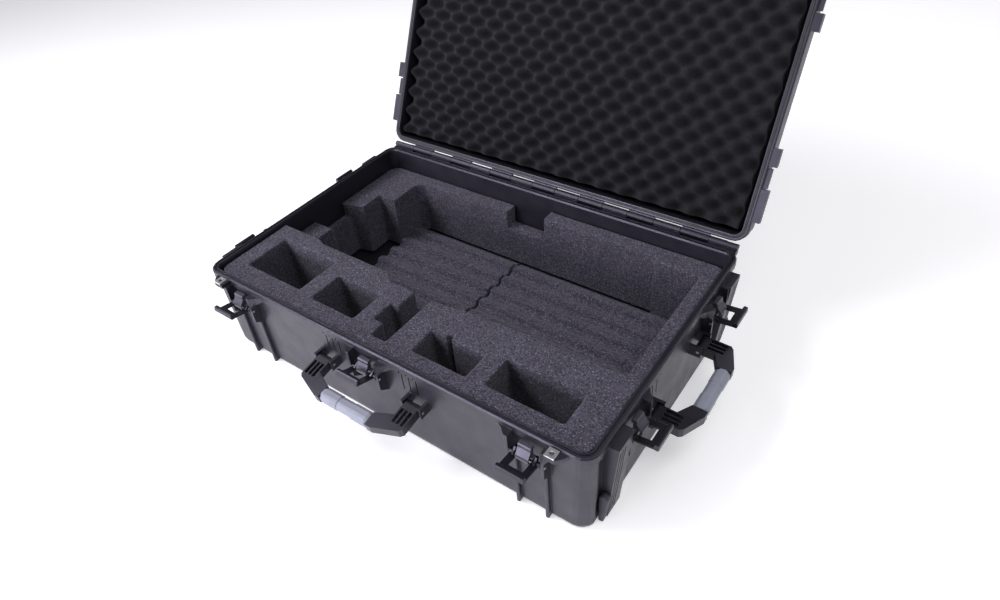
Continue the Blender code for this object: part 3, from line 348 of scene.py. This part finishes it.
def joined_copy(nodes, name):
    """The nodes' solids in one mesh, each grown a little so that their faces meet."""
    bm = bmesh.new()
    for node in nodes:
        bm.from_mesh(NODES[node].data)
    bmesh.ops.remove_doubles(bm, verts=bm.verts, dist=WELD)
    bmesh.ops.recalc_face_normals(bm, faces=bm.faces)
    bm.normal_update()
    for vert in bm.verts:
        vert.co += vert.normal * SEAM_GROWTH
    if name.startswith("floor"):
        spread_floor(bm)
    mesh = bpy.data.meshes.new(name)
    bm.to_mesh(mesh)
    bm.free()
    return mesh


def foam_wave(point):
    """Slow and fine unevenness of a cut face."""
    return noise.noise(point * FOAM_BROAD_WAVE) + 0.5 * noise.noise(point * FOAM_FINE_WAVE)


def cut_foam(nodes, name):
    """A cut foam block in the place of its CAD solids: worn edges and faces that aren't quite flat."""
    obj = linked(name, joined_copy(nodes, name), LOOKS["foam"])
    remesh = obj.modifiers.new("voxels", "REMESH")
    remesh.mode = "VOXEL"
    remesh.voxel_size = FOAM_VOXEL * 1
    relax = obj.modifiers.new("relax", "SMOOTH")
    relax.factor = 0.5
    relax.iterations = FOAM_PASSES
    evaluated(obj)
    mesh = obj.data
    count = len(mesh.vertices)
    co = np.empty(count * 3, np.float32)
    mesh.vertices.foreach_get("co", co)
    normals = np.empty(count * 3, np.float32)
    mesh.vertex_normals.foreach_get("vector", normals)
    co, normals = co.reshape(-1, 3), normals.reshape(-1, 3)
    push = np.array([foam_wave(Vector(p)) for p in co])
    co -= normals * (FOAM_SWAY * (FOAM_INSET + push))[:, None]
    mesh.vertices.foreach_set("co", co.ravel())
    thin = obj.modifiers.new("thin", "DECIMATE")
    thin.ratio = FOAM_FACES_KEPT
    evaluated(obj)
    obj.data.materials.clear()
    obj.data.materials.append(LOOKS["foam"])
    obj.data.polygons.foreach_set("use_smooth", [True] * len(obj.data.polygons))
    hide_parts(*nodes)
    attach(obj, "base")
    return obj


def lid_turn():
    """Takes a point of the shut lid to where the open lid holds it."""
    return (
        Matrix.Translation(HINGE_AT)
        @ Matrix.Rotation(math.radians(-LID_OPEN_DEG), 4, "X")
        @ Matrix.Translation(-HINGE_AT)
    )


def egg_height(x, y):
    """Height of the egg-crate face over its valleys, 0 to 1."""
    wave = math.cos(2 * math.pi * x / EGG_PITCH_X) * math.cos(2 * math.pi * y / EGG_PITCH_Y)
    return (0.5 + 0.5 * wave) ** EGG_PEAK_POWER


def egg_crate():
    """The lid's foam sheet: staggered peaks that face the base when the lid is shut."""
    step = EGG_STEP
    half_x, half_y = LID_FOAM_HALF
    nx, ny = round(2 * half_x / step), round(2 * half_y / step)
    bm = bmesh.new()
    rows = []
    for j in range(ny + 1):
        y = -half_y + 2 * half_y * j / ny
        row = []
        for i in range(nx + 1):
            x = -half_x + 2 * half_x * i / nx
            at = Vector((x * EGG_WOBBLE_SCALE, y * EGG_WOBBLE_SCALE, 0.0))
            wobble = EGG_WOBBLE * noise.noise(at)
            z = LID_FOAM_LOW + EGG_FACE_GAP + EGG_DEPTH * (1 - egg_height(x, y)) + wobble
            row.append(bm.verts.new((x, y, z)))
        rows.append(row)
    for low, high in zip(rows, rows[1:]):
        for i in range(nx):
            bm.faces.new((low[i], high[i], high[i + 1], low[i + 1]))
    rim = [*rows[0], *[r[-1] for r in rows[1:]], *rows[-1][-2::-1], *[r[0] for r in rows[-2:0:-1]]]
    backs = [bm.verts.new((v.co.x, v.co.y, LID_FOAM_BACK)) for v in rim]
    for i in range(len(rim)):
        j = (i + 1) % len(rim)
        bm.faces.new((rim[i], rim[j], backs[j], backs[i]))
    bm.faces.new(backs)
    bmesh.ops.recalc_face_normals(bm, faces=bm.faces)
    bm.transform(lid_turn())
    mesh = bpy.data.meshes.new("egg_crate")
    bm.to_mesh(mesh)
    bm.free()
    sheet = linked("lid_egg_crate", mesh, LOOKS["lid_foam"])
    mesh.set_sharp_from_angle(angle=math.radians(60))
    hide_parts("lid_foam")
    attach(sheet, "lid")


def hinge_apron():
    """A rounded ledge along the rear wall, below the hinge knuckles."""
    bm = bmesh.new()
    bmesh.ops.create_cube(bm, size=1.0)
    (near, far), (low, high) = APRON_Y, APRON_Z
    bmesh.ops.scale(bm, vec=(2 * APRON_HALF, far - near, high - low), verts=bm.verts)
    bmesh.ops.translate(bm, vec=(0.0, 0.5 * (near + far), 0.5 * (low + high)), verts=bm.verts)
    bmesh.ops.bevel(bm, geom=bm.edges[:], offset=APRON_ROUND, segments=3, profile=0.5, affect="EDGES")
    mesh = bpy.data.meshes.new("hinge_apron")
    bm.to_mesh(mesh)
    bm.free()
    apron = linked("hinge_apron", mesh, LOOKS["shell"])
    mesh.set_sharp_from_angle(angle=math.radians(40))
    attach(apron, "base")


def camera():
    data = bpy.data.cameras.new("camera")
    data.lens = CAMERA_LENS
    data.sensor_width = 36.0
    data.shift_x, data.shift_y = CAMERA_SHIFT
    data.clip_start, data.clip_end = 0.05, 60.0
    obj = bpy.data.objects.new("camera", data)
    bpy.context.scene.collection.objects.link(obj)
    azimuth, elevation, roll = (math.radians(a) for a in (CAMERA_AZIMUTH, CAMERA_ELEVATION, CAMERA_ROLL))
    level = math.cos(elevation)
    ahead = Vector((-math.sin(azimuth) * level, math.cos(azimuth) * level, -math.sin(elevation)))
    right = ahead.cross(Vector((0.0, 0.0, 1.0))).normalized()
    down = ahead.cross(right)
    across = math.cos(roll) * right + math.sin(roll) * down
    fall = -math.sin(roll) * right + math.cos(roll) * down
    turn = Matrix((across, -fall, -ahead)).transposed().to_4x4()
    obj.matrix_world = Matrix.Translation(CAMERA_AT) @ turn
    bpy.context.scene.camera = obj


def area_light(name, at, aim, size, power, colour):
    data = bpy.data.lights.new(name, "AREA")
    data.shape = "RECTANGLE"
    data.size, data.size_y = size
    data.energy = power
    data.color = colour
    obj = bpy.data.objects.new(name, data)
    bpy.context.scene.collection.objects.link(obj)
    obj.location = at
    obj.rotation_mode = "QUATERNION"
    obj.rotation_quaternion = (Vector(aim) - Vector(at)).to_track_quat("-Z", "Y")


def soft_world():
    """Pale at the horizon and dim overhead, as a studio with a dark ceiling."""
    world = bpy.data.worlds.new("studio_world")
    world.use_nodes = True
    tree = world.node_tree
    place = tree.nodes.new("ShaderNodeTexCoord")
    parts = tree.nodes.new("ShaderNodeSeparateXYZ")
    fade = tree.nodes.new("ShaderNodeMapRange")
    tree.links.new(place.outputs["Generated"], parts.inputs["Vector"])
    tree.links.new(parts.outputs["Z"], fade.inputs["Value"])
    for socket, value in WORLD_FADE.items():
        fade.inputs[socket].default_value = value
    tree.links.new(fade.outputs["Result"], tree.nodes["Background"].inputs["Strength"])
    tree.nodes["Background"].inputs["Color"].default_value = WORLD_COLOUR
    return world


def studio():
    bm = bmesh.new()
    bmesh.ops.create_grid(bm, x_segments=FLOOR_CELLS, y_segments=FLOOR_CELLS, size=FLOOR_HALF)
    mesh = bpy.data.meshes.new("studio_floor")
    bm.to_mesh(mesh)
    bm.free()
    floor = linked("studio_floor", mesh, paper("studio_paper"))
    floor.location = (0.0, 0.0, -FLOOR_DROP)
    bpy.context.scene.world = soft_world()
    for name, light in LIGHTS.items():
        area_light(name, *light)
    bpy.context.scene.view_settings.view_transform = "Standard"


paint_nodes()
for name, nodes in FOAM_BLOCKS.items():
    cut_foam(nodes, name)
egg_crate()
hinge_apron()
camera()
studio()
